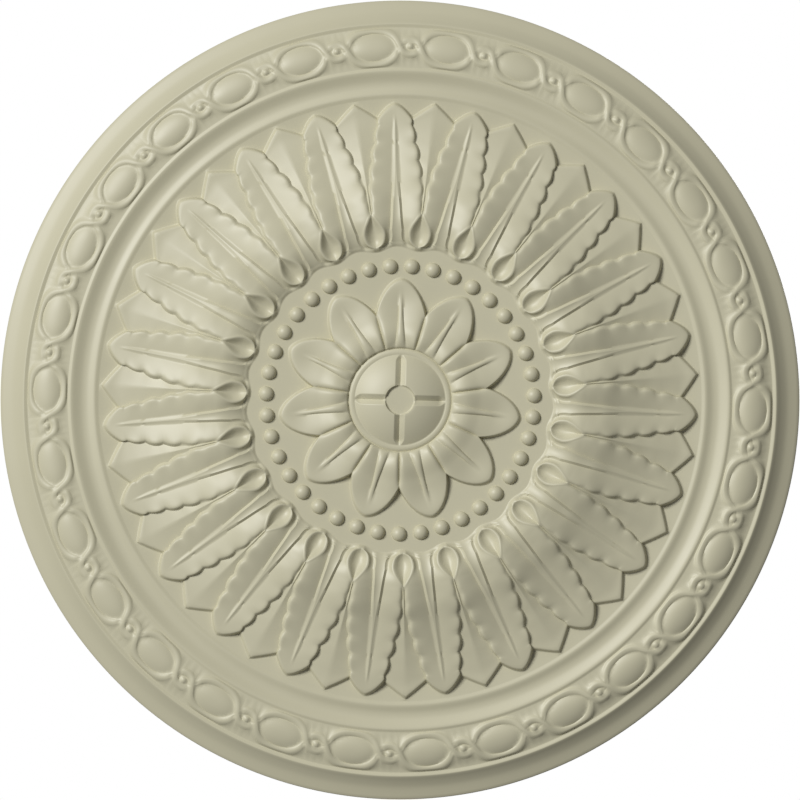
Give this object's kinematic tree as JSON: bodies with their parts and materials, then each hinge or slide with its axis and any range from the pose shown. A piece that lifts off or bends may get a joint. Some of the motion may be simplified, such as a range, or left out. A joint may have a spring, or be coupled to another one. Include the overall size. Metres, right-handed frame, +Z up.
{
  "type": "ceiling rose",
  "caption": "Round moulded ceiling rose with a dished rim, an interlaced band, a domed wreath of leaves, a ring of beads and a flower with a slotted boss.",
  "frame": {"origin": "centre of the flat back, where the rose meets the ceiling", "axes": "+Z up into the ceiling; the carved face looks down along -Z; +Y is the top of the face as seen from below"},
  "size_m": [0.61, 0.61, 0.0554],
  "materials": {
    "paint": "satin"
  },
  "bodies": {
    "root": {"ceiling_rose": "paint"}
  },
  "joints": []
}
